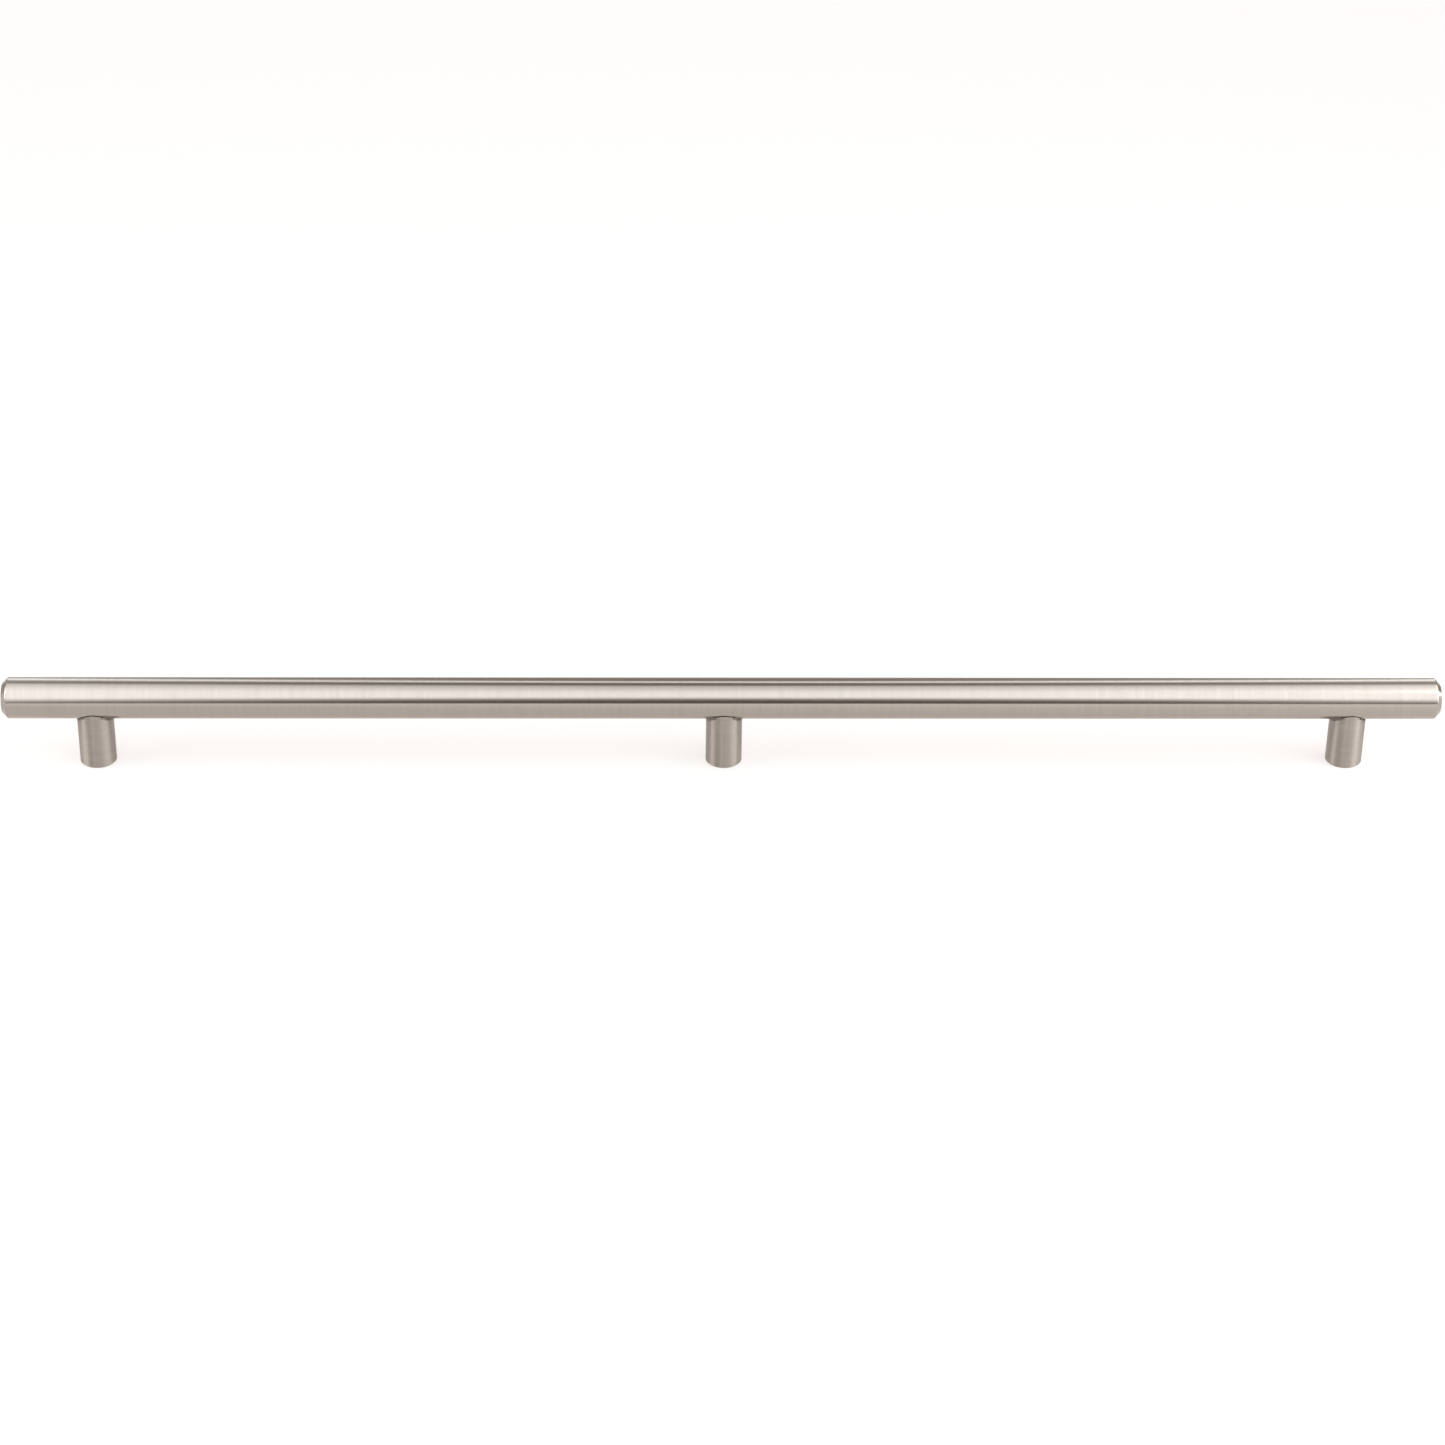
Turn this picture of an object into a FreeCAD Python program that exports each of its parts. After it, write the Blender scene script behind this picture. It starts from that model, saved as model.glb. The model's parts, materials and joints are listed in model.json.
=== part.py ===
import FreeCAD, Part
import math
import os

# T bar cabinet pull: a solid round bar that three short round posts hold off the door.
# Each post has a saddle-cut top that the bar lies in, and a headless screw draws the two together.
# The frame has X along the bar and Z away from the door.
# Its origin is on the mounting face, under the middle post. All sizes are in millimetres.

# Bar, solid round stock with turned ends
bar_diameter = 12.7
bar_overhang = 27.5
bar_end_chamfer = 1.6
bar_corner_radius = 0.4

# Posts, solid round stock
post_sides = {"left": -1, "middle": 0, "right": 1}
post_pitch = 192.0
post_diameter = 11.1
foot_chamfer = 0.5

# Room for fingers, from the door to the underside of the bar
finger_room = 15.45

# Saddle, cut a little larger than the bar so that the bar seats along its lowest line
saddle_oversize = 0.3
seat_gap = 0.03

# Headless screw in each joint, M5 with a hexagon socket that faces the foot of the post
stud_diameter = 5.0
stud_in_bar = 6.0
stud_in_post = 6.0
stud_chamfer = 0.5
socket_sides = 6
socket_across_flats = 2.5
socket_depth = 3.0

# Tapped holes for that screw, drawn at the thread's outer diameter plus a little clearance
thread_clearance = 0.025
hole_spare_in_bar = 1.0
hole_spare_in_post = 0.5

# Hole in each foot for the cabinet screw, drilled for an M4 thread
foot_hole_diameter = 3.3
foot_countersink_diameter = 4.5

# Points of drills and of the tool that forms the hexagon socket
drill_point_angle = 118.0
socket_point_angle = 120.0

# Worked out from the sizes above
bar_radius = bar_diameter / 2
bar_length = 2 * (post_pitch + bar_overhang)
bar_axis_height = finger_room + bar_radius
stud_hole_diameter = stud_diameter + 2 * thread_clearance
post_hole_floor = finger_room - stud_in_post - hole_spare_in_post
bar_hole_floor = finger_room + stud_in_bar + hole_spare_in_bar
up = FreeCAD.Vector(0, 0, 1)


def point_length(diameter, angle):
    """Length of the cone at the tip of a tool."""
    return diameter / 2 / math.tan(math.radians(angle / 2))


def drilled_hole(x, start, floor, diameter):
    """A drilled hole along Z, from the height start to the height floor, with the drill's point beyond it."""
    direction = up if floor > start else -up
    shank = Part.makeCylinder(diameter / 2, abs(floor - start), FreeCAD.Vector(x, 0, start), direction)
    point = Part.makeCone(
        diameter / 2,
        0,
        point_length(diameter, drill_point_angle),
        FreeCAD.Vector(x, 0, floor),
        direction,
    )
    return shank.fuse(point)


def circles_at(shape, axis, place, radius):
    """The circular edges of one radius whose centre has the given place along an axis."""
    found = []
    for edge in shape.Edges:
        curve = edge.Curve
        if isinstance(curve, Part.Circle) and math.isclose(curve.Radius, radius, abs_tol=1e-6):
            if math.isclose(getattr(curve.Center, axis), place, abs_tol=1e-6):
                found.append(edge)
    return found


def pull_bar():
    """The bar, with chamfered ends and a blind hole in its underside over each post."""
    half = bar_length / 2
    start = FreeCAD.Vector(-half, 0, bar_axis_height)
    bar = Part.makeCylinder(bar_radius, bar_length, start, FreeCAD.Vector(1, 0, 0))
    ends = circles_at(bar, "x", -half, bar_radius) + circles_at(bar, "x", half, bar_radius)
    bar = bar.makeChamfer(bar_end_chamfer, ends)
    corners = []
    for side in (-1, 1):
        corners += circles_at(bar, "x", side * half, bar_radius - bar_end_chamfer)
        corners += circles_at(bar, "x", side * (half - bar_end_chamfer), bar_radius)
    bar = bar.makeFillet(bar_corner_radius, corners)
    for side in post_sides.values():
        bar = bar.cut(drilled_hole(side * post_pitch, 0, bar_hole_floor, stud_hole_diameter))
    return bar


def post(x):
    """A post with a saddle top, a hole for the joint's screw and a smaller one for the cabinet screw."""
    radius = post_diameter / 2
    body = Part.makeCylinder(radius, bar_axis_height, FreeCAD.Vector(x, 0, 0), up)
    body = body.makeChamfer(foot_chamfer, circles_at(body, "z", 0, radius))

    saddle_radius = bar_radius + saddle_oversize
    saddle_height = finger_room - seat_gap + saddle_radius
    saddle_start = FreeCAD.Vector(x - post_diameter, 0, saddle_height)
    saddle = Part.makeCylinder(saddle_radius, 2 * post_diameter, saddle_start, FreeCAD.Vector(1, 0, 0))

    foot_radius = foot_hole_diameter / 2
    mouth_radius = foot_countersink_diameter / 2
    countersink = Part.makeCone(
        mouth_radius,
        foot_radius,
        mouth_radius - foot_radius,
        FreeCAD.Vector(x, 0, 0),
        up,
    )
    body = body.cut(saddle)
    body = body.cut(drilled_hole(x, bar_axis_height, post_hole_floor, stud_hole_diameter))
    body = body.cut(drilled_hole(x, 0, post_hole_floor, foot_hole_diameter))
    return body.cut(countersink)


def stud(x):
    """The headless screw that joins a post to the bar, its hexagon socket at the lower end."""
    radius = stud_diameter / 2
    bottom = finger_room - stud_in_post
    length = stud_in_post + stud_in_bar
    shank = Part.makeCylinder(radius, length, FreeCAD.Vector(x, 0, bottom), up)
    rims = circles_at(shank, "z", bottom, radius) + circles_at(shank, "z", bottom + length, radius)
    shank = shank.makeChamfer(stud_chamfer, rims)

    turn = 2 * math.pi / socket_sides
    corner_radius = socket_across_flats / 2 / math.cos(turn / 2)
    corners = []
    for step in range(socket_sides + 1):
        across = corner_radius * math.cos(turn * step)
        along = corner_radius * math.sin(turn * step)
        corners.append(FreeCAD.Vector(x + across, along, bottom))
    socket = Part.Face(Part.makePolygon(corners)).extrude(up * socket_depth)
    socket_point = Part.makeCone(
        socket_across_flats / 2,
        0,
        point_length(socket_across_flats, socket_point_angle),
        FreeCAD.Vector(x, 0, bottom + socket_depth),
        up,
    )
    return shank.cut(socket.fuse(socket_point))


pieces = {"pull_bar": pull_bar()}
for name, side in post_sides.items():
    pieces["post_" + name] = post(side * post_pitch)
    pieces["stud_" + name] = stud(side * post_pitch)

os.makedirs("parts", exist_ok=True)
for name, shape in pieces.items():
    solid = shape.Solids[0]
    solid.exportStep("parts/" + name + ".step")
    box = solid.optimalBoundingBox(False, False)
    print(
        f"{name}: {box.XLength:.2f} x {box.YLength:.2f} x {box.ZLength:.2f} mm,"
        f" z {box.ZMin:.2f} to {box.ZMax:.2f}, volume {solid.Volume:.1f} mm3,"
        f" solids {len(shape.Solids)}, valid {solid.isValid()}"
    )
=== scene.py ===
# %% [markdown]
# # A T bar cabinet pull in brushed stainless steel
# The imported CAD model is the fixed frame: it says where each piece is and how large.
# This lesson gives each piece a smooth mesh, its threads and its brushed finish,
# and sets it on a light table in a dark studio with softboxes.

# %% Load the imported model
import json
import math

import bpy
from mathutils import Matrix, Vector


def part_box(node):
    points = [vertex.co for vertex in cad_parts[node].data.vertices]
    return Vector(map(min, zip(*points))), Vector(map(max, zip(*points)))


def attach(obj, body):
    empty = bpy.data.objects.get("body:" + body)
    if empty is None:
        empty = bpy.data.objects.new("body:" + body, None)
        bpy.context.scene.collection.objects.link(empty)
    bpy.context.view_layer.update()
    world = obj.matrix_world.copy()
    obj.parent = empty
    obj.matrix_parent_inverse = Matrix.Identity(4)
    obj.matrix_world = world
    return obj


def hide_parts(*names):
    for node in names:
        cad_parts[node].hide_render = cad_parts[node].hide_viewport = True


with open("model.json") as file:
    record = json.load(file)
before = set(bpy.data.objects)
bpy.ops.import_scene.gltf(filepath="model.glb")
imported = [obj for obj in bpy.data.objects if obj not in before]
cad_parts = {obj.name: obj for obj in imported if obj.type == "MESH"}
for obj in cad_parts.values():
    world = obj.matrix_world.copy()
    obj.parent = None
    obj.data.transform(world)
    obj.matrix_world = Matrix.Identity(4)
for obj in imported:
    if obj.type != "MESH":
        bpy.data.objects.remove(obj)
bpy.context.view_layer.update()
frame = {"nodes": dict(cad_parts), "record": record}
MM = 0.001
print("nodes:", sorted(frame["nodes"]))

# %% [markdown]
# ## The camera
# The picture is taken from the front, about 30 degrees above the table, from a little over a metre.
# The place was solved from the known sizes of the pull and the edges seen in the photograph.
# A camera looks along its own -Z axis, so its matrix is built from the directions right, up and back.

# %% Place the camera
PICTURE_WIDTH = 1445
FOCAL_LENGTH_PIXELS = 3584.7
SENSOR_WIDTH = 36.0
camera_distance = 1100 * MM
camera_elevation = math.radians(29.5)
camera_azimuth = math.radians(-1.586)
camera_roll = math.radians(0.804)
camera_target = Vector((-0.467, 0, 13.211)) * MM

back = Vector(
    (
        math.sin(camera_azimuth) * math.cos(camera_elevation),
        -math.cos(camera_azimuth) * math.cos(camera_elevation),
        math.sin(camera_elevation),
    )
)
level_right = Vector((math.cos(camera_azimuth), math.sin(camera_azimuth), 0))
level_up = back.cross(level_right)
right = level_right * math.cos(camera_roll) + level_up * math.sin(camera_roll)
up = back.cross(right)

camera_data = bpy.data.cameras.new("camera")
camera_data.sensor_width = SENSOR_WIDTH
camera_data.lens = FOCAL_LENGTH_PIXELS / PICTURE_WIDTH * SENSOR_WIDTH
camera_data.clip_start = 0.05
camera_data.clip_end = 50
camera = bpy.data.objects.new("camera", camera_data)
bpy.context.scene.collection.objects.link(camera)
turn = Matrix((right, up, back)).transposed()
camera.matrix_world = Matrix.Translation(camera_target + back * camera_distance) @ turn.to_4x4()
bpy.context.scene.camera = camera
bpy.context.scene.view_settings.view_transform = "Standard"
print("camera lens: %.1f mm" % camera_data.lens)

# %% [markdown]
# ## Small helpers for nodes and colours
# Every material, light and shape below is a tree of nodes. One function adds a node, sets its
# properties and fills its inputs, so that a tree reads from top to bottom like a recipe.
# Colours are written as the sRGB hex values that a colour picker shows. Shaders compute with
# linear light, so one function turns a hex value into linear numbers.
# Sockets are named where their names differ, and numbered where they don't. A Mix node takes numbers in
# 2 and 3 and colours in 6 and 7, and its colour comes out of 2.


# %% Helpers
def add(tree, kind, inputs=None, **settings):
    """Adds a node. Each input takes a plain value, a socket, or a node, whose first output it then uses."""
    node = tree.nodes.new(kind)
    for name, value in settings.items():
        setattr(node, name, value)
    for key, value in (inputs or {}).items():
        if isinstance(value, bpy.types.Node):
            value = value.outputs[0]
        if isinstance(value, bpy.types.NodeSocket):
            tree.links.new(value, node.inputs[key])
        else:
            node.inputs[key].default_value = value
    return node


def linear(hex_colour):
    """An sRGB colour such as "#B5ABA4" as linear red, green, blue and alpha."""
    values = [int(hex_colour[k : k + 2], 16) / 255 for k in (1, 3, 5)]
    return [v / 12.92 if v <= 0.04045 else ((v + 0.055) / 1.055) ** 2.4 for v in values] + [1.0]


print("mid grey in linear light: %.3f" % linear("#808080")[0])

# %% [markdown]
# ## The light
# A round brushed bar is a mirror bent round its axis: it squeezes everything from the table in front,
# over the ceiling, to the wall behind into a few bands. So the studio is described by how bright it is
# at each angle over that arc, with 0 degrees level in front, 90 overhead and 180 level behind.
# A large softbox hangs from 25 to 100 degrees, a strip light stands behind it near 130, and the room
# between and around them is dark.

# %% How bright the studio is over the bar, by degrees
softbox_arc = [
    (0, 0.02),
    (14, 0.02),
    (21, 0.15),
    (27, 0.45),
    (33, 0.82),
    (40, 1.00),
    (56, 1.00),
    (68, 0.86),
    (82, 0.68),
    (94, 0.56),
    (99, 0.45),
    (102, 0.15),
    (119, 0.17),
    (123, 0.60),
    (128, 1.00),
    (132, 0.75),
    (137, 0.20),
    (142, 0.10),
    (180, 0.12),
]
print("stops over the bar:", len(softbox_arc))

# %% [markdown]
# The posts stand upright, so their bands come from what stands round the pull, not above it: a far
# panel at the front right, a dimmer one at the left, and dim walls elsewhere. Here 0 degrees is in
# front and 90 to the right.

# %% How bright the studio is round the posts, by degrees
studio_walls = [
    (-180, 0.05),
    (-150, 0.12),
    (-116, 0.17),
    (-100, 0.17),
    (-90, 0.42),
    (-68, 0.42),
    (-56, 0.03),
    (22, 0.02),
    (30, 0.25),
    (38, 0.65),
    (48, 0.90),
    (70, 0.85),
    (80, 0.30),
    (92, 0.15),
    (120, 0.12),
    (180, 0.05),
]
print("stops round the posts:", len(studio_walls))

# %% [markdown]
# A world shader answers for one direction at a time. The direction's Y and Z give its angle over the
# arc, and its X says how far it leans to a side. The softbox and the strip light are bowed: towards the
# sides they spread out from the softbox's middle, so that the bands get wider at both ends of the bar.

# %% Find a direction's place on the arc
SOFTBOX_MIDDLE = 62 / 180
SOFTBOX_OFFSET = 0.025
BOW = 10.0

world = bpy.data.worlds.new("studio")
world.use_nodes = True
bpy.context.scene.world = world
sky = world.node_tree
sky.nodes.clear()
towards = add(sky, "ShaderNodeTexCoord").outputs["Generated"]
parts = add(sky, "ShaderNodeSeparateXYZ", {0: towards})
side = parts.outputs["X"]
forward = add(sky, "ShaderNodeMath", {0: parts.outputs["Y"], 1: -1.0}, operation="MULTIPLY")
above = add(sky, "ShaderNodeMath", {0: parts.outputs["Z"], 1: 0.0}, operation="MAXIMUM")
arc = add(sky, "ShaderNodeMath", {0: above, 1: forward}, operation="ARCTAN2")
share = add(sky, "ShaderNodeMath", {0: arc, 1: math.pi}, operation="DIVIDE")
lean = add(sky, "ShaderNodeMath", {0: side, 1: SOFTBOX_OFFSET}, operation="SUBTRACT")
lean_squared = add(sky, "ShaderNodeMath", {0: lean, 1: lean}, operation="MULTIPLY")
bow = add(sky, "ShaderNodeMath", {0: lean_squared, 1: BOW, 2: 1.0}, operation="MULTIPLY_ADD")
from_middle = add(sky, "ShaderNodeMath", {0: share, 1: SOFTBOX_MIDDLE}, operation="SUBTRACT")
straightened = add(sky, "ShaderNodeMath", {0: from_middle, 1: bow}, operation="DIVIDE")
arc_place = add(sky, "ShaderNodeMath", {0: straightened, 1: SOFTBOX_MIDDLE}, operation="ADD")
print("softbox middle at %.0f degrees" % (180 * SOFTBOX_MIDDLE))

# %% [markdown]
# The bands also get brighter towards the sides, the dimmer parts the most and none past a peak.
# Further out the softbox ends.

# %% Turn the place into brightness
SOFTBOX_STRENGTH = 2.3
SIDE_GAIN = 14.0
PEAK_GAIN = 7.0
SOFTBOX_END = (0.05, 0.15)

arc_level = add(sky, "ShaderNodeValToRGB", {0: arc_place})
side_squared = add(sky, "ShaderNodeMath", {0: side, 1: side}, operation="MULTIPLY")
gain = add(sky, "ShaderNodeMath", {0: side_squared, 1: SIDE_GAIN, 2: 1.0}, operation="MULTIPLY_ADD")
peak = add(sky, "ShaderNodeMath", {0: side_squared, 1: PEAK_GAIN, 2: 1.0}, operation="MULTIPLY_ADD")
softbox_end = add(
    sky,
    "ShaderNodeMapRange",
    {
        "Value": side_squared,
        "From Min": SOFTBOX_END[0],
        "From Max": SOFTBOX_END[1],
        "To Min": 1.0,
        "To Max": 0.0,
    },
)
gained = add(sky, "ShaderNodeMath", {0: arc_level, 1: gain}, operation="MULTIPLY")
evened = add(sky, "ShaderNodeMath", {0: gained, 1: peak}, operation="MINIMUM")
ended = add(sky, "ShaderNodeMath", {0: evened, 1: softbox_end}, operation="MULTIPLY")
overhead = add(sky, "ShaderNodeMath", {0: ended, 1: SOFTBOX_STRENGTH}, operation="MULTIPLY")
print("softbox strength:", SOFTBOX_STRENGTH)

# %% [markdown]
# The walls go by the compass direction instead, and fade towards the ceiling.

# %% Add the walls
WALL_STRENGTH = 4.4
WALL_FADE = (0.55, 0.85)

azimuth = add(sky, "ShaderNodeMath", {0: side, 1: forward}, operation="ARCTAN2")
azimuth_share = add(
    sky, "ShaderNodeMath", {0: azimuth, 1: 1 / (2 * math.pi), 2: 0.5}, operation="MULTIPLY_ADD"
)
wall_level = add(sky, "ShaderNodeValToRGB", {0: azimuth_share})
wall_height = add(
    sky,
    "ShaderNodeMapRange",
    {
        "Value": parts.outputs["Z"],
        "From Min": WALL_FADE[0],
        "From Max": WALL_FADE[1],
        "To Min": 1.0,
        "To Max": 0.0,
    },
)
wall = add(sky, "ShaderNodeMath", {0: wall_level, 1: wall_height}, operation="MULTIPLY")
brightness = add(
    sky, "ShaderNodeMath", {0: wall, 1: WALL_STRENGTH, 2: overhead}, operation="MULTIPLY_ADD"
)
print("wall strength:", WALL_STRENGTH)

# %% [markdown]
# Each row of stops goes onto a colour ramp, which runs from 0 to 1 over the row's range of degrees.

# %% Set the stops of both ramps
for ramp, stops, low, high in (
    (arc_level, softbox_arc, 0, 180),
    (wall_level, studio_walls, -180, 180),
):
    elements = ramp.color_ramp.elements
    while len(elements) < len(stops):
        elements.new(0.5)
    for element, (degrees, level) in zip(elements, stops):
        element.position = (degrees - low) / (high - low)
        element.color = (level, level, level, 1)
print("stops on the ramps:", len(arc_level.color_ramp.elements), len(wall_level.color_ramp.elements))

# %% [markdown]
# The room itself is warm and the lamps are daylight, so the colour changes with the brightness, and
# the dark bands on the steel turn out a little brown.

# %% Colour the light
room_or_light = add(
    sky,
    "ShaderNodeMix",
    {0: brightness, 6: linear("#FFE6CE"), 7: linear("#F6FAFF")},
    data_type="RGBA",
    clamp_factor=True,
)
glow = add(
    sky, "ShaderNodeBackground", {"Color": room_or_light.outputs[2], "Strength": brightness}
)
add(sky, "ShaderNodeOutputWorld", {"Surface": glow})
print("world nodes:", len(sky.nodes))

# %% [markdown]
# Two softboxes stand near the pull, one beyond each end. What is near looks brighter from the end
# beside it, and so the right one makes that end of the bar, the post and the table the brighter one.

# %% Stand a softbox on each side
SOFTBOX_HEIGHT = 0.55
for name, place, aim, width, power in (
    ("left_softbox", (-0.62, -0.10, 0.30), (0, 0, 0.05), 0.40, 3.1),
    ("right_softbox", (0.50, -0.04, 0.26), (0.1, 0, 0.05), 0.45, 2.8),
):
    lamp = bpy.data.lights.new(name, "AREA")
    lamp.shape = "RECTANGLE"
    lamp.size = width
    lamp.size_y = SOFTBOX_HEIGHT
    lamp.energy = power
    softbox = bpy.data.objects.new(name, lamp)
    softbox.location = place
    softbox.rotation_euler = (Vector(aim) - softbox.location).to_track_quat("-Z", "Y").to_euler()
    softbox.visible_camera = False
    bpy.context.scene.collection.objects.link(softbox)
    print(name, "%.2f x %.2f m, %.1f W" % (width, SOFTBOX_HEIGHT, power))

# %% [markdown]
# ## The light table
# Products on pure white are often photographed on white acrylic that is lit from below as well, because
# the glow fills in their shadows. So the table is matt white and also gives some light of its own.
# The lamps under it are warm. They are strongest just in front of the pull, so that the grey band on the
# lower half of the bar fades towards its underside, and they end in a round pool of light. The dimmer
# table past the pool and the dark room beyond it draw the thin dark line along the middle of the bar.
# The lamps' colour is given in linear light, because no hex value reaches its red.

# %% Make the white acrylic
LAMPS_RISE_TOWARDS = (0.12, -1, 0)
LAMPS_RISE = (0.02, 0.14)
DIMMEST_LAMP = 0.70
LAMPS_MIDDLE = (0, 0.25, 0)
LAMPS_END = (0.62, 1.2)
LAMP_COLOUR = (1.05, 1.0, 0.97, 1.0)

acrylic = bpy.data.materials.new("white_acrylic_lit_from_below")
acrylic.use_nodes = True
acrylic_tree = acrylic.node_tree
acrylic_tree.nodes.clear()
on_table = add(acrylic_tree, "ShaderNodeTexCoord").outputs["Object"]
to_the_front = add(
    acrylic_tree, "ShaderNodeVectorMath", {0: on_table, 1: LAMPS_RISE_TOWARDS}, operation="DOT_PRODUCT"
)
lamps_below = add(
    acrylic_tree,
    "ShaderNodeMapRange",
    {
        "Value": to_the_front.outputs["Value"],
        "From Min": LAMPS_RISE[0],
        "From Max": LAMPS_RISE[1],
        "To Min": DIMMEST_LAMP,
        "To Max": 1.0,
    },
)
from_lamps = add(
    acrylic_tree, "ShaderNodeVectorMath", {0: on_table, 1: LAMPS_MIDDLE}, operation="DISTANCE"
)
last_lamp = add(
    acrylic_tree,
    "ShaderNodeMapRange",
    {
        "Value": from_lamps.outputs["Value"],
        "From Min": LAMPS_END[0],
        "From Max": LAMPS_END[1],
        "To Min": 1.0,
        "To Max": 0.0,
    },
    interpolation_type="SMOOTHSTEP",
)
lamp_glow = add(acrylic_tree, "ShaderNodeMath", {0: lamps_below, 1: last_lamp}, operation="MULTIPLY")
acrylic_shader = add(
    acrylic_tree,
    "ShaderNodeBsdfPrincipled",
    {
        "Base Color": linear("#808080"),
        "Roughness": 0.9,
        "Specular IOR Level": 0.0,
        "Emission Color": LAMP_COLOUR,
        "Emission Strength": lamp_glow,
    },
)
add(acrylic_tree, "ShaderNodeOutputMaterial", {"Surface": acrylic_shader})
print("the lamps' pool of light fades from %.2f to %.2f m" % LAMPS_END)

# %% [markdown]
# The table itself is a single square face, so large that its edge lies at the horizon.

# %% Lay the table
TABLE_REACH = 8.0
table_mesh = bpy.data.meshes.new("light_table")
table_mesh.from_pydata(
    [
        (-TABLE_REACH, -TABLE_REACH, 0),
        (TABLE_REACH, -TABLE_REACH, 0),
        (TABLE_REACH, TABLE_REACH, 0),
        (-TABLE_REACH, TABLE_REACH, 0),
    ],
    [],
    [(0, 1, 2, 3)],
)
table_mesh.materials.append(acrylic)
table = bpy.data.objects.new("light_table", table_mesh)
bpy.context.scene.collection.objects.link(table)
print("table reaches %.0f m to each side" % TABLE_REACH)

# %% [markdown]
# ## Sizes
# The boxes of the CAD nodes give the sizes that can be measured from outside. The joints' holes and
# their thread are shared by the bar, the posts and the screws, so they are named here too.

# %% Read the sizes of the pieces, in millimetres
bar_low, bar_high = (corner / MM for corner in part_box("pull_bar"))
post_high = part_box("post_middle")[1] / MM
stud_low, stud_high = (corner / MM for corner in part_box("stud_middle"))
post_places = {
    side: round(sum(corner.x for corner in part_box("post_" + side)) / 2 / MM, 1)
    for side in ("left", "middle", "right")
}
bar_length = bar_high.x - bar_low.x
bar_radius = (bar_high.z - bar_low.z) / 2
bar_axis = (bar_high.z + bar_low.z) / 2
post_radius = round(post_high.x, 2)
stud_radius = round(stud_high.x, 2)
print("bar %.1f x %.2f mm, posts %.2f mm at %s" % (bar_length, 2 * bar_radius, 2 * post_radius, post_places))

# %% Name the sizes of the joints, in millimetres
DRILL_HALF_ANGLE = math.radians(59)
thread_clearance = 0.025
stud_pitch = 0.8
stud_thread_depth = 0.42
stud_hole_radius = stud_radius + thread_clearance
drill_slope = 1 / math.tan(DRILL_HALF_ANGLE)
print("joints: M%.0f x %.1f screws" % (2 * stud_radius, stud_pitch))

# %% [markdown]
# ## Turned pieces by rule
# The bar, the posts and the headless screws all come off a lathe, so each is one outline turned round
# an axis. Spinning it by hand would do, but three things break the roundness: the saddle on top of a
# post, a helical thread and a hexagon socket. Each is a simple rule for moving a point, so one
# Geometry Nodes tree makes them all. The outline is a row of points, and each carries how
# strongly each rule holds there: 0 for a plain turned surface. A thread also has its pitch there.

# %% The tree that turns an outline
RULES = ("saddle", "thread", "pitch", "hexagon")
lathe = bpy.data.node_groups.new("turn_outline", "GeometryNodeTree")
lathe.interface.new_socket("Outline", in_out="INPUT", socket_type="NodeSocketGeometry")
for name, kind in (
    ("Segments", "NodeSocketInt"),
    ("Saddle Radius", "NodeSocketFloat"),
    ("Saddle Axis", "NodeSocketFloat"),
    ("Saddle Top", "NodeSocketFloat"),
    ("Turn", "NodeSocketVector"),
    ("Place", "NodeSocketVector"),
    ("Material", "NodeSocketMaterial"),
):
    lathe.interface.new_socket(name, in_out="INPUT", socket_type=kind)
lathe.interface.new_socket("Piece", in_out="OUTPUT", socket_type="NodeSocketGeometry")
given = add(lathe, "NodeGroupInput").outputs

# A sheet with one row of vertices per outline point and one column per step round the axis
rows = add(lathe, "GeometryNodeAttributeDomainSize", {"Geometry": given["Outline"]}, component="MESH")
columns = add(lathe, "ShaderNodeMath", {0: given["Segments"], 1: 1.0}, operation="ADD")
sheet = add(
    lathe,
    "GeometryNodeMeshGrid",
    {"Size X": 1.0, "Size Y": 1.0, "Vertices X": rows.outputs["Point Count"], "Vertices Y": columns},
)
index = add(lathe, "GeometryNodeInputIndex")
quotient = add(lathe, "ShaderNodeMath", {0: index, 1: columns}, operation="DIVIDE")
row = add(lathe, "ShaderNodeMath", {0: quotient}, operation="FLOOR")
column = add(lathe, "ShaderNodeMath", {0: index, 1: columns}, operation="MODULO")
step = add(lathe, "ShaderNodeMath", {0: 2 * math.pi, 1: given["Segments"]}, operation="DIVIDE")
angle = add(lathe, "ShaderNodeMath", {0: column, 1: step}, operation="MULTIPLY")

# What the outline says in that row
outline_place = add(lathe, "GeometryNodeInputPosition")
place_there = add(
    lathe,
    "GeometryNodeSampleIndex",
    {"Geometry": given["Outline"], "Value": outline_place, "Index": row},
    data_type="FLOAT_VECTOR",
)
outline_parts = add(lathe, "ShaderNodeSeparateXYZ", {0: place_there})
radius = outline_parts.outputs["X"]
height = outline_parts.outputs["Z"]
held = {}
for rule in RULES:
    named = add(lathe, "GeometryNodeInputNamedAttribute", {"Name": rule}, data_type="FLOAT")
    held[rule] = add(
        lathe,
        "GeometryNodeSampleIndex",
        {"Geometry": given["Outline"], "Value": named, "Index": row},
        data_type="FLOAT",
    )

# Thread: the radius follows a zigzag that climbs one pitch in each turn
climb = add(lathe, "ShaderNodeMath", {0: height, 1: held["pitch"]}, operation="DIVIDE")
lap = add(lathe, "ShaderNodeMath", {0: angle, 1: 2 * math.pi}, operation="DIVIDE")
phase = add(lathe, "ShaderNodeMath", {0: climb, 1: lap}, operation="SUBTRACT")
zigzag = add(lathe, "ShaderNodeMath", {0: phase, 1: 0.5}, operation="PINGPONG")
full_zigzag = add(lathe, "ShaderNodeMath", {0: zigzag, 1: 2.0}, operation="MULTIPLY")
threaded = add(
    lathe, "ShaderNodeMath", {0: held["thread"], 1: full_zigzag, 2: radius}, operation="MULTIPLY_ADD"
)

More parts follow.
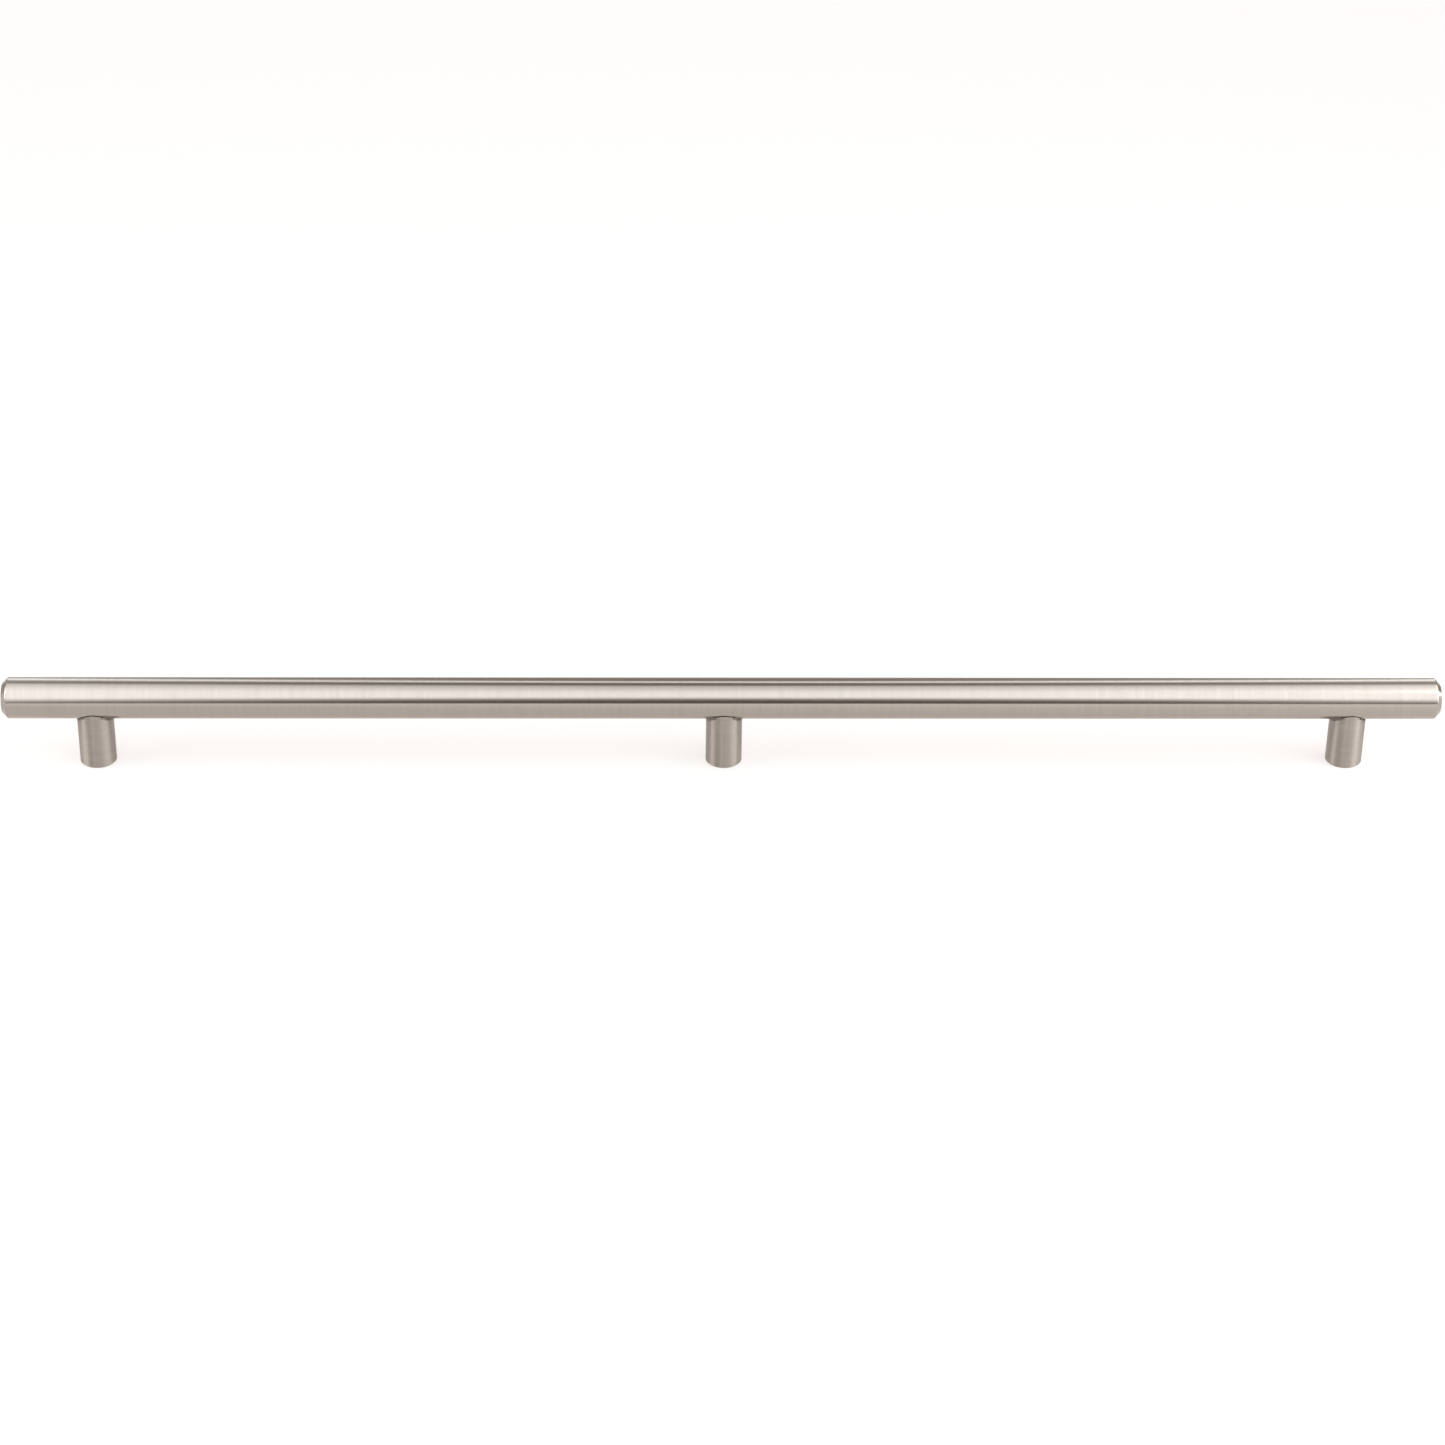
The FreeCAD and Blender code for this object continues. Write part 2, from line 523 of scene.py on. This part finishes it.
# Hexagon: between corners the radius shrinks to the flat, by the cosine from the flat's middle
sector = add(lathe, "ShaderNodeMath", {0: angle, 1: math.pi / 3}, operation="MODULO")
from_flat = add(lathe, "ShaderNodeMath", {0: sector, 1: math.pi / 6}, operation="SUBTRACT")
flatness = add(lathe, "ShaderNodeMath", {0: from_flat}, operation="COSINE")
to_corner = add(lathe, "ShaderNodeMath", {0: 1.0, 1: flatness}, operation="DIVIDE")
stretch = add(
    lathe,
    "ShaderNodeMix",
    {0: held["hexagon"], 2: 1.0, 3: to_corner},
    data_type="FLOAT",
)
final_radius = add(lathe, "ShaderNodeMath", {0: threaded, 1: stretch}, operation="MULTIPLY")

# Saddle: the top drops to a cylinder that lies across the piece
cosine = add(lathe, "ShaderNodeMath", {0: angle}, operation="COSINE")
sine = add(lathe, "ShaderNodeMath", {0: angle}, operation="SINE")
x = add(lathe, "ShaderNodeMath", {0: final_radius, 1: cosine}, operation="MULTIPLY")
y = add(lathe, "ShaderNodeMath", {0: final_radius, 1: sine}, operation="MULTIPLY")
reach_squared = add(
    lathe, "ShaderNodeMath", {0: given["Saddle Radius"], 1: given["Saddle Radius"]}, operation="MULTIPLY"
)
y_squared = add(lathe, "ShaderNodeMath", {0: y, 1: y}, operation="MULTIPLY")
left_over = add(lathe, "ShaderNodeMath", {0: reach_squared, 1: y_squared}, operation="SUBTRACT")
within = add(lathe, "ShaderNodeMath", {0: left_over, 1: 0.0}, operation="MAXIMUM")
depth = add(lathe, "ShaderNodeMath", {0: within}, operation="SQRT")
saddle_height = add(lathe, "ShaderNodeMath", {0: given["Saddle Axis"], 1: depth}, operation="SUBTRACT")
drop = add(lathe, "ShaderNodeMath", {0: saddle_height, 1: given["Saddle Top"]}, operation="SUBTRACT")
z = add(lathe, "ShaderNodeMath", {0: held["saddle"], 1: drop, 2: height}, operation="MULTIPLY_ADD")

# Shape the sheet, close its seam and poles, and turn its faces outwards
MERGE_DISTANCE = 0.0005 * MM
shaped_place = add(lathe, "ShaderNodeCombineXYZ", {"X": x, "Y": y, "Z": z})
shaped = add(lathe, "GeometryNodeSetPosition", {"Geometry": sheet, "Position": shaped_place})
closed = add(lathe, "GeometryNodeMergeByDistance", {"Geometry": shaped, "Distance": MERGE_DISTANCE})
outward = add(lathe, "GeometryNodeFlipFaces", {"Mesh": closed})
placed = add(
    lathe,
    "GeometryNodeTransform",
    {"Geometry": outward, "Rotation": given["Turn"], "Translation": given["Place"]},
)
print("lathe nodes:", len(lathe.nodes))

# %% [markdown]
# A tree ends in three nodes that both trees of this lesson need: smooth shading that stays crisp at
# real edges, Realize Instances and Set Material.


# %% Finish a tree, run it, and keep its result as a plain mesh
CRISP_EDGE = math.radians(38)


def finish_tree(tree, shape, material):
    """Smooth shading with crisp edges, then the nodes that make the result real and give it a material."""
    real = add(tree, "GeometryNodeRealizeInstances", {"Geometry": shape})
    smooth = add(tree, "GeometryNodeSetShadeSmooth", {"Geometry": real}, domain="FACE")
    fold = add(tree, "GeometryNodeInputMeshEdgeAngle")
    crisp = add(
        tree,
        "FunctionNodeCompare",
        {0: fold.outputs["Unsigned Angle"], 1: CRISP_EDGE},
        data_type="FLOAT",
        operation="GREATER_THAN",
    )
    edged = add(
        tree,
        "GeometryNodeSetShadeSmooth",
        {"Geometry": smooth, "Selection": crisp, "Shade Smooth": False},
        domain="EDGE",
    )
    coloured = add(tree, "GeometryNodeSetMaterial", {"Geometry": edged, "Material": material})
    add(tree, "NodeGroupOutput", {0: coloured})


def run_tree(name, mesh, tree, values):
    """Puts a mesh through a tree with the given input values and returns the result as a plain object."""
    rough = bpy.data.objects.new(name, mesh)
    bpy.context.scene.collection.objects.link(rough)
    modifier = rough.modifiers.new(tree.name, "NODES")
    modifier.node_group = tree
    for socket in tree.interface.items_tree:
        if socket.name in values:
            modifier[socket.identifier] = values[socket.name]
    evaluated = rough.evaluated_get(bpy.context.evaluated_depsgraph_get())
    made = bpy.data.meshes.new_from_object(evaluated)
    bpy.data.objects.remove(rough)
    piece = bpy.data.objects.new(name, made)
    made.name = name
    bpy.context.scene.collection.objects.link(piece)
    return piece


finish_tree(lathe, placed, given["Material"])
print("edges are crisp from %.0f degrees" % math.degrees(CRISP_EDGE))

# %% [markdown]
# ## Outlines
# An outline is written like a turner's drawing: corners with a radius each. Real edges are never
# perfectly sharp, and the small round is what catches the light.
# Beside each round goes one more point, so that smooth shading doesn't bleed onto the flat.


# %% Helpers for outlines
ROUND_STEPS = 5
GUARD = 0.12


def soften(corners):
    """(radius, height, rounding) corners as a row of (radius, height) points with an arc at each rounding."""
    points = []
    for k, (r, h, rounding) in enumerate(corners):
        corner = Vector((r, h))
        if rounding == 0:
            points.append(corner)
            continue
        before = (Vector(corners[k - 1][:2]) - corner).normalized()
        after = (Vector(corners[k + 1][:2]) - corner).normalized()
        half_angle = before.angle(after) / 2
        run = rounding / math.tan(half_angle)
        centre = corner + (before + after).normalized() * (rounding / math.sin(half_angle))
        start = corner + before * run
        end = corner + after * run
        points.append(start + before * GUARD)
        for s in range(ROUND_STEPS + 1):
            arm = (start.lerp(end, s / ROUND_STEPS) - centre).normalized()
            points.append(centre + arm * rounding)
        points.append(end + after * GUARD)
    return points


def outline(name, rows):
    """Rows of (radius, height, rules) in millimetres as a mesh of points that carry their rules."""
    mesh = bpy.data.meshes.new(name)
    mesh.from_pydata([(r * MM, 0, h * MM) for r, h, rules in rows], [], [])
    for rule in RULES:
        attribute = mesh.attributes.new(rule, "FLOAT", "POINT")
        attribute.data.foreach_set("value", [rules.get(rule, 0) for r, h, rules in rows])
    return mesh


def thread_rows(radius, end_radius, start, end, depth, pitch, rings_per_pitch):
    """Rows of a threaded stretch. Over its first and last pitch the thread fades into end_radius."""
    count = math.ceil(abs(end - start) / pitch * rings_per_pitch)
    rows = []
    for k in range(count + 1):
        along = start + (end - start) * k / count
        formed = min(1, min(abs(along - start), abs(end - along)) / pitch)
        between = end_radius + (radius - end_radius) * formed
        rows.append((between, along, {"thread": depth * formed * MM, "pitch": pitch * MM}))
    return rows


print("points at a rounded corner:", ROUND_STEPS + 3)

# %% [markdown]
# ## Brushed stainless steel
# The pull is satin stainless steel: the bar and the posts were turned against a fine abrasive belt, which
# leaves rings of tiny scratches, and the ends were faced in a lathe, which leaves circles. A highlight
# spreads across scratches and stays narrow along them, so the finish is anisotropic: light smears along
# the axis and keeps crisp bands round it.
# The scratches are too fine to model. A noise stands in for them, stretched 12 times longer round the
# axis than along it. Its coordinate along the axis adds the distance from the axis, so that the same
# noise turns into circles on a faced end. Fresh scratches give the eye a faint grain of light and dark
# rings, from single scratches of about 0.1 mm up to the belt's slow wander over a few millimetres.


# %% The brushed finish
STRETCH = 12.0
LONGEST_WANDER = 3 * MM
HALVINGS = 5.0
NOISE_RANGE = (0.35, 0.65)
SCRATCH_DEPTH = 0.0005 * MM
QUARTER_TURN = 0.25


def brushed_steel(name, colour, dark_colour, axis, centre, repeat, roughness, anisotropy):
    """Satin stainless steel, brushed in rings round the axis through centre. It repeats along X."""
    material = bpy.data.materials.new(name)
    material.use_nodes = True
    tree = material.node_tree
    tree.nodes.clear()
    place = add(tree, "ShaderNodeTexCoord").outputs["Object"]
    local = add(tree, "ShaderNodeMapping", {"Vector": place, "Location": -centre})
    own = add(
        tree,
        "ShaderNodeVectorMath",
        {0: local, 1: (repeat / 2, 1, 1), 2: (-repeat / 2, -1, -1)},
        operation="WRAP",
    )
    across = add(tree, "ShaderNodeVectorMath", {0: own, 1: Vector((1, 1, 1)) - axis}, operation="MULTIPLY")
    distance = add(tree, "ShaderNodeVectorMath", {0: across}, operation="LENGTH").outputs["Value"]
    along = add(tree, "ShaderNodeVectorMath", {0: own, 1: axis}, operation="DOT_PRODUCT").outputs["Value"]
    ring = add(tree, "ShaderNodeMath", {0: along, 1: distance}, operation="ADD")
    ring_step = add(tree, "ShaderNodeVectorMath", {0: axis, "Scale": ring}, operation="SCALE")
    round_step = add(tree, "ShaderNodeVectorMath", {0: place, "Scale": 1 / STRETCH}, operation="SCALE")
    scratched = add(tree, "ShaderNodeVectorMath", {0: ring_step, 1: round_step}, operation="ADD")
    rings = add(
        tree,
        "ShaderNodeTexNoise",
        {"Vector": scratched, "Scale": 1 / LONGEST_WANDER, "Detail": HALVINGS, "Roughness": 1.0},
    )
    rough = add(
        tree,
        "ShaderNodeMapRange",
        {
            "Value": rings,
            "From Min": NOISE_RANGE[0],
            "From Max": NOISE_RANGE[1],
            "To Min": roughness[0],
            "To Max": roughness[1],
        },
    )
    tint = add(
        tree,
        "ShaderNodeMapRange",
        {"Value": rings, "From Min": NOISE_RANGE[0], "From Max": NOISE_RANGE[1]},
    )
    shade = add(
        tree,
        "ShaderNodeMix",
        {0: tint, 6: linear(colour), 7: linear(dark_colour)},
        data_type="RGBA",
    )
    bump = add(
        tree,
        "ShaderNodeBump",
        {"Height": rings, "Strength": 1.0, "Distance": SCRATCH_DEPTH},
    )
    round_axis = add(tree, "ShaderNodeTangent", direction_type="RADIAL", axis="XYZ"[list(axis).index(1)])
    shader = add(
        tree,
        "ShaderNodeBsdfPrincipled",
        {
            "Base Color": shade.outputs[2],
            "Metallic": 1.0,
            "Roughness": rough,
            "Anisotropic": anisotropy,
            "Anisotropic Rotation": QUARTER_TURN,
            "Normal": bump,
            "Tangent": round_axis,
        },
    )
    add(tree, "ShaderNodeOutputMaterial", {"Surface": shader})
    return material


print("scratches from %.2f to %.0f mm wide" % (LONGEST_WANDER / MM / 2**HALVINGS, LONGEST_WANDER / MM))

# %% [markdown]
# The bar was brushed finer than the posts, so it mirrors more crisply. The three posts share one
# material, whose pattern starts again at each post's axis. The bar's own pattern would start again only
# after two metres, so on the bar it never does.

# %% The finishes of the bar and the posts
NEVER_ON_THE_BAR = 2.0
bar_finish = brushed_steel(
    "satin_stainless_bar",
    colour="#A69E96",
    dark_colour="#A19990",
    axis=Vector((1, 0, 0)),
    centre=Vector((0, 0, bar_axis * MM)),
    repeat=NEVER_ON_THE_BAR,
    roughness=(0.15, 0.17),
    anisotropy=0.5,
)
post_finish = brushed_steel(
    "satin_stainless_posts",
    colour="#A0978F",
    dark_colour="#999087",
    axis=Vector((0, 0, 1)),
    centre=Vector((0, 0, 0)),
    repeat=(post_places["right"] - post_places["middle"]) * MM,
    roughness=(0.36, 0.44),
    anisotropy=0.85,
)
print("finishes:", bar_finish.name, post_finish.name)

# %% [markdown]
# The headless screws are plain steel, thread-rolled and lightly oiled: a darker, greyer and even metal.

# %% The screws' finish
OIL_PATCH = 0.8 * MM
OILY_AND_DRY_ROUGHNESS = (0.25, 0.5)
screw_finish = bpy.data.materials.new("rolled_carbon_steel_screws")
screw_finish.use_nodes = True
screw_tree = screw_finish.node_tree
screw_tree.nodes.clear()
screw_place = add(screw_tree, "ShaderNodeTexCoord").outputs["Object"]
oil = add(screw_tree, "ShaderNodeTexNoise", {"Vector": screw_place, "Scale": 1 / OIL_PATCH})
oil_roughness = add(
    screw_tree,
    "ShaderNodeMapRange",
    {"Value": oil, "To Min": OILY_AND_DRY_ROUGHNESS[0], "To Max": OILY_AND_DRY_ROUGHNESS[1]},
)
oil_shade = add(
    screw_tree,
    "ShaderNodeMix",
    {0: oil, 6: linear("#5C5A58"), 7: linear("#7A7876")},
    data_type="RGBA",
)
screw_shader = add(
    screw_tree,
    "ShaderNodeBsdfPrincipled",
    {"Base Color": oil_shade.outputs[2], "Metallic": 1.0, "Roughness": oil_roughness},
)
add(screw_tree, "ShaderNodeOutputMaterial", {"Surface": screw_shader})
print("screw finish:", screw_finish.name)

# %% [markdown]
# ## The posts
# A post is a short round rod. Its top is milled to a saddle a little larger than the bar, so that
# the bar sits on its lowest line and a thin dark gap opens towards the rim. Its foot has a broken edge
# and a tapped hole for the cabinet screw. The outline is a closed loop, because the holes go through.

# %% The sizes of a post, in millimetres
foot_chamfer = 0.5
edge_rounding = 0.12
saddle_oversize = 0.3
seat_gap = 0.03
hole_spare_in_post = 0.5
saddle_radius = bar_radius + saddle_oversize
saddle_axis = bar_low.z - seat_gap + saddle_radius
saddle_top = saddle_axis - math.sqrt(saddle_radius**2 - post_radius**2)
post_hole_floor = stud_low.z - hole_spare_in_post
foot_hole = next(m for m in frame["record"]["mounts"] if m["name"] == "foot_hole_middle")
foot_hole_radius = foot_hole["dims"]["r_mm"]
foot_mouth_radius = 2.25
foot_hole_top = post_hole_floor - (stud_hole_radius - foot_hole_radius) * drill_slope
foot_pitch = 0.7
foot_thread_depth = 0.35
print("hole in the foot: %.2f mm deep, radius %.2f mm" % (foot_hole_top, foot_hole_radius))

# %% [markdown]
# The outline starts at the thread in the foot, goes round the foot's edge and up the side to the rim,
# across the saddle, and down the upper thread to where it began. The saddle's rule holds from just
# under the rim to the mouth of the upper hole, so the rim keeps its small round all the way round.

# %% Draw a post's outline
RINGS_PER_PITCH = 10
SADDLE_RINGS = 10
RIM_WIDTH = 0.6
BELOW_SADDLE = 1.0
THREAD_BELOW_BAR = 0.6

post_rows = thread_rows(
    foot_hole_radius,
    foot_hole_radius,
    foot_hole_top,
    foot_mouth_radius - foot_hole_radius,
    foot_thread_depth,
    foot_pitch,
    RINGS_PER_PITCH,
)
side_corners = [
    (foot_mouth_radius, 0, 0),
    (post_radius - foot_chamfer, 0, edge_rounding / 2),
    (post_radius, foot_chamfer, edge_rounding),
    (post_radius, saddle_top - BELOW_SADDLE, 0),
]
post_rows += [(r, h, {}) for r, h in soften(side_corners)]
rim_corners = [
    (post_radius, saddle_top - RIM_WIDTH, 0),
    (post_radius, saddle_top, edge_rounding),
    (post_radius - RIM_WIDTH, saddle_top, 0),
]
post_rows += [(r, h, {"saddle": 1}) for r, h in soften(rim_corners)]
for k in range(1, SADDLE_RINGS + 1):
    across = post_radius - RIM_WIDTH + (stud_hole_radius - post_radius + RIM_WIDTH) * k / SADDLE_RINGS
    post_rows.append((across, saddle_top, {"saddle": 1}))
post_rows += thread_rows(
    stud_hole_radius,
    stud_hole_radius,
    bar_low.z - THREAD_BELOW_BAR,
    post_hole_floor,
    -stud_thread_depth,
    stud_pitch,
    RINGS_PER_PITCH,
)
post_rows.append(post_rows[0])
print("rows in a post's outline:", len(post_rows))

# %% [markdown]
# The posts are the same part three times, so one outline is turned at three places.

# %% Turn three posts
POST_SEGMENTS = 144
posts = {}
for side, place in post_places.items():
    posts[side] = run_tree(
        "round_post_" + side,
        outline("post_outline", post_rows),
        lathe,
        {
            "Segments": POST_SEGMENTS,
            "Saddle Radius": saddle_radius * MM,
            "Saddle Axis": saddle_axis * MM,
            "Saddle Top": saddle_top * MM,
            "Place": (place * MM, 0, 0),
            "Material": post_finish,
        },
    )
print("post faces:", len(posts["middle"].data.polygons))

# %% [markdown]
# ## The headless screws
# A headless M5 screw joins each post to the bar, turned in from the foot with a hexagon key. It is
# hidden, but it shows at the bottom of the hole in the foot, and in an exploded view.

# %% Draw a screw's outline
SCREW_RINGS_PER_PITCH = 12
SOCKET_POINT_HALF_ANGLE = math.radians(60)
stud_chamfer = 0.5
socket_radius = 1.25
socket_depth = 3.0
socket_point = socket_radius / math.tan(SOCKET_POINT_HALF_ANGLE)
screw_rows = [
    (0, stud_low.z + socket_depth + socket_point, {}),
    (socket_radius, stud_low.z + socket_depth, {}),
    (socket_radius, stud_low.z + socket_depth, {"hexagon": 1}),
    (socket_radius, stud_low.z, {"hexagon": 1}),
    (stud_radius - stud_chamfer, stud_low.z, {}),
]
screw_rows += thread_rows(
    stud_radius,
    stud_radius - stud_thread_depth,
    stud_low.z + stud_chamfer,
    stud_high.z - stud_chamfer,
    -stud_thread_depth,
    stud_pitch,
    SCREW_RINGS_PER_PITCH,
)
screw_rows += [(stud_radius - stud_chamfer, stud_high.z, {}), (0, stud_high.z, {})]
print("rows in a screw's outline:", len(screw_rows))

# %% [markdown]
# As with the posts, one outline makes all three.

# %% Turn three screws
SCREW_SEGMENTS = 72
screws = {}
for side, place in post_places.items():
    screws[side] = run_tree(
        "headless_screw_" + side,
        outline("screw_outline", screw_rows),
        lathe,
        {
            "Segments": SCREW_SEGMENTS,
            "Place": (place * MM, 0, 0),
            "Material": screw_finish,
        },
    )
print("screw faces:", len(screws["middle"].data.polygons))

# %% [markdown]
# ## The bar
# The bar is a solid round rod whose ends are turned to a bevel with softened corners. The same
# lathe tree makes it, laid along X. The rings of points beside each hole keep the faces that the cut
# makes long and thin under the post, where they can't disturb the shine.

# %% Turn the blank
BAR_SEGMENTS = 192
END_STRETCH = 10.0
BESIDE_HOLE = (-4.5, -3.2, 3.2, 4.5)
bar_end_chamfer = 1.6
bar_corner_rounding = 0.4
half = bar_length / 2
end_corners = [
    (0, half, 0),
    (bar_radius - bar_end_chamfer, half, bar_corner_rounding),
    (bar_radius, half - bar_end_chamfer, bar_corner_rounding),
    (bar_radius, half - END_STRETCH, 0),
]
right_end = soften(end_corners)
bar_rows = [(r, -h, {}) for r, h in right_end]
bar_rows += [(bar_radius, place + gap, {}) for place in post_places.values() for gap in BESIDE_HOLE]
bar_rows += [(r, h, {}) for r, h in reversed(right_end)]
laid_down = {
    "Segments": BAR_SEGMENTS,
    "Turn": (0, math.radians(90), 0),
    "Place": (0, 0, bar_axis * MM),
    "Material": bar_finish,
}
blank = run_tree("bar_blank", outline("bar_outline", bar_rows), lathe, laid_down)
print("blank faces:", len(blank.data.polygons))

# %% [markdown]
# The three blind holes in the underside have threads, so the shape that cuts them is a turned piece
# with a thread too. It starts below the bar, so that it cuts cleanly through the surface.

# %% Turn the drill
DRILL_SEGMENTS = 48
DRILL_LEAD = 1.5
THREAD_LEAD = 0.2
hole_spare_in_bar = 1.0
drill_start = bar_low.z - DRILL_LEAD
thread_start = bar_low.z - THREAD_LEAD
bar_hole_floor = stud_high.z + hole_spare_in_bar
drill_rows = [(0, drill_start, {}), (stud_hole_radius, drill_start, {})]
drill_rows += thread_rows(
    stud_hole_radius,
    stud_hole_radius,
    thread_start,
    bar_hole_floor,
    -stud_thread_depth,
    stud_pitch,
    RINGS_PER_PITCH,
)
drill_rows.append((0, bar_hole_floor + stud_hole_radius * drill_slope, {}))
standing = {"Segments": DRILL_SEGMENTS, "Material": bar_finish}
drill = run_tree("thread_drill", outline("drill_outline", drill_rows), lathe, standing)
print("drill faces:", len(drill.data.polygons))

# %% [markdown]
# The holes repeat, so a second tree sets the drill's shape on a line of points and cuts all of them
# out together. A pull with other drillings needs only other numbers in its inputs. Both meshes are
# closed, so the boolean can use the Manifold solver, which leaves no loose edges.

# %% The tree that drills a row of holes
drilling = bpy.data.node_groups.new("drill_row_of_holes", "GeometryNodeTree")
for name, kind in (
    ("Blank", "NodeSocketGeometry"),
    ("Drill", "NodeSocketObject"),
    ("Holes", "NodeSocketInt"),
    ("First Hole", "NodeSocketVector"),
    ("Pitch", "NodeSocketVector"),
    ("Material", "NodeSocketMaterial"),
):
    drilling.interface.new_socket(name, in_out="INPUT", socket_type=kind)
drilling.interface.new_socket("Drilled", in_out="OUTPUT", socket_type="NodeSocketGeometry")
wanted = add(drilling, "NodeGroupInput").outputs
hole_line = add(
    drilling,
    "GeometryNodeMeshLine",
    {"Count": wanted["Holes"], "Start Location": wanted["First Hole"], "Offset": wanted["Pitch"]},
)
drill_shape = add(drilling, "GeometryNodeObjectInfo", {"Object": wanted["Drill"]})
drills = add(
    drilling,
    "GeometryNodeInstanceOnPoints",
    {"Points": hole_line, "Instance": drill_shape.outputs["Geometry"]},
)
cut = add(
    drilling,
    "GeometryNodeMeshBoolean",
    {"Mesh 1": wanted["Blank"], "Mesh 2": drills},
    operation="DIFFERENCE",
    solver="MANIFOLD",
)
finish_tree(drilling, cut, wanted["Material"])
print("drilling nodes:", len(drilling.nodes))

# %% [markdown]
# The blank goes through the tree, and the blank and the drill's shape are then put away.

# %% Drill the three holes
bar = run_tree(
    "round_pull_bar",
    blank.data,
    drilling,
    {
        "Drill": drill,
        "Holes": len(post_places),
        "First Hole": (post_places["left"] * MM, 0, 0),
        "Pitch": ((post_places["middle"] - post_places["left"]) * MM, 0, 0),
        "Material": bar_finish,
    },
)
for helper in (blank, drill):
    bpy.data.objects.remove(helper)
print("bar faces:", len(bar.data.polygons))

# %% [markdown]
# ## Hand the pieces over
# Each piece stands for its CAD node, which is hidden, keeps the finish its tree gave it
# and rides on the one body there is, because nothing on a pull moves.

# %% Replace the CAD nodes
for piece, node, slot in (
    [(bar, "pull_bar", "bar_steel")]
    + [(posts[side], "post_" + side, "post_steel") for side in post_places]
    + [(screws[side], "stud_" + side, "stud_steel") for side in post_places]
):
    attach(piece, "root")
    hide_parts(node)
print("pieces:", 1 + len(posts) + len(screws))
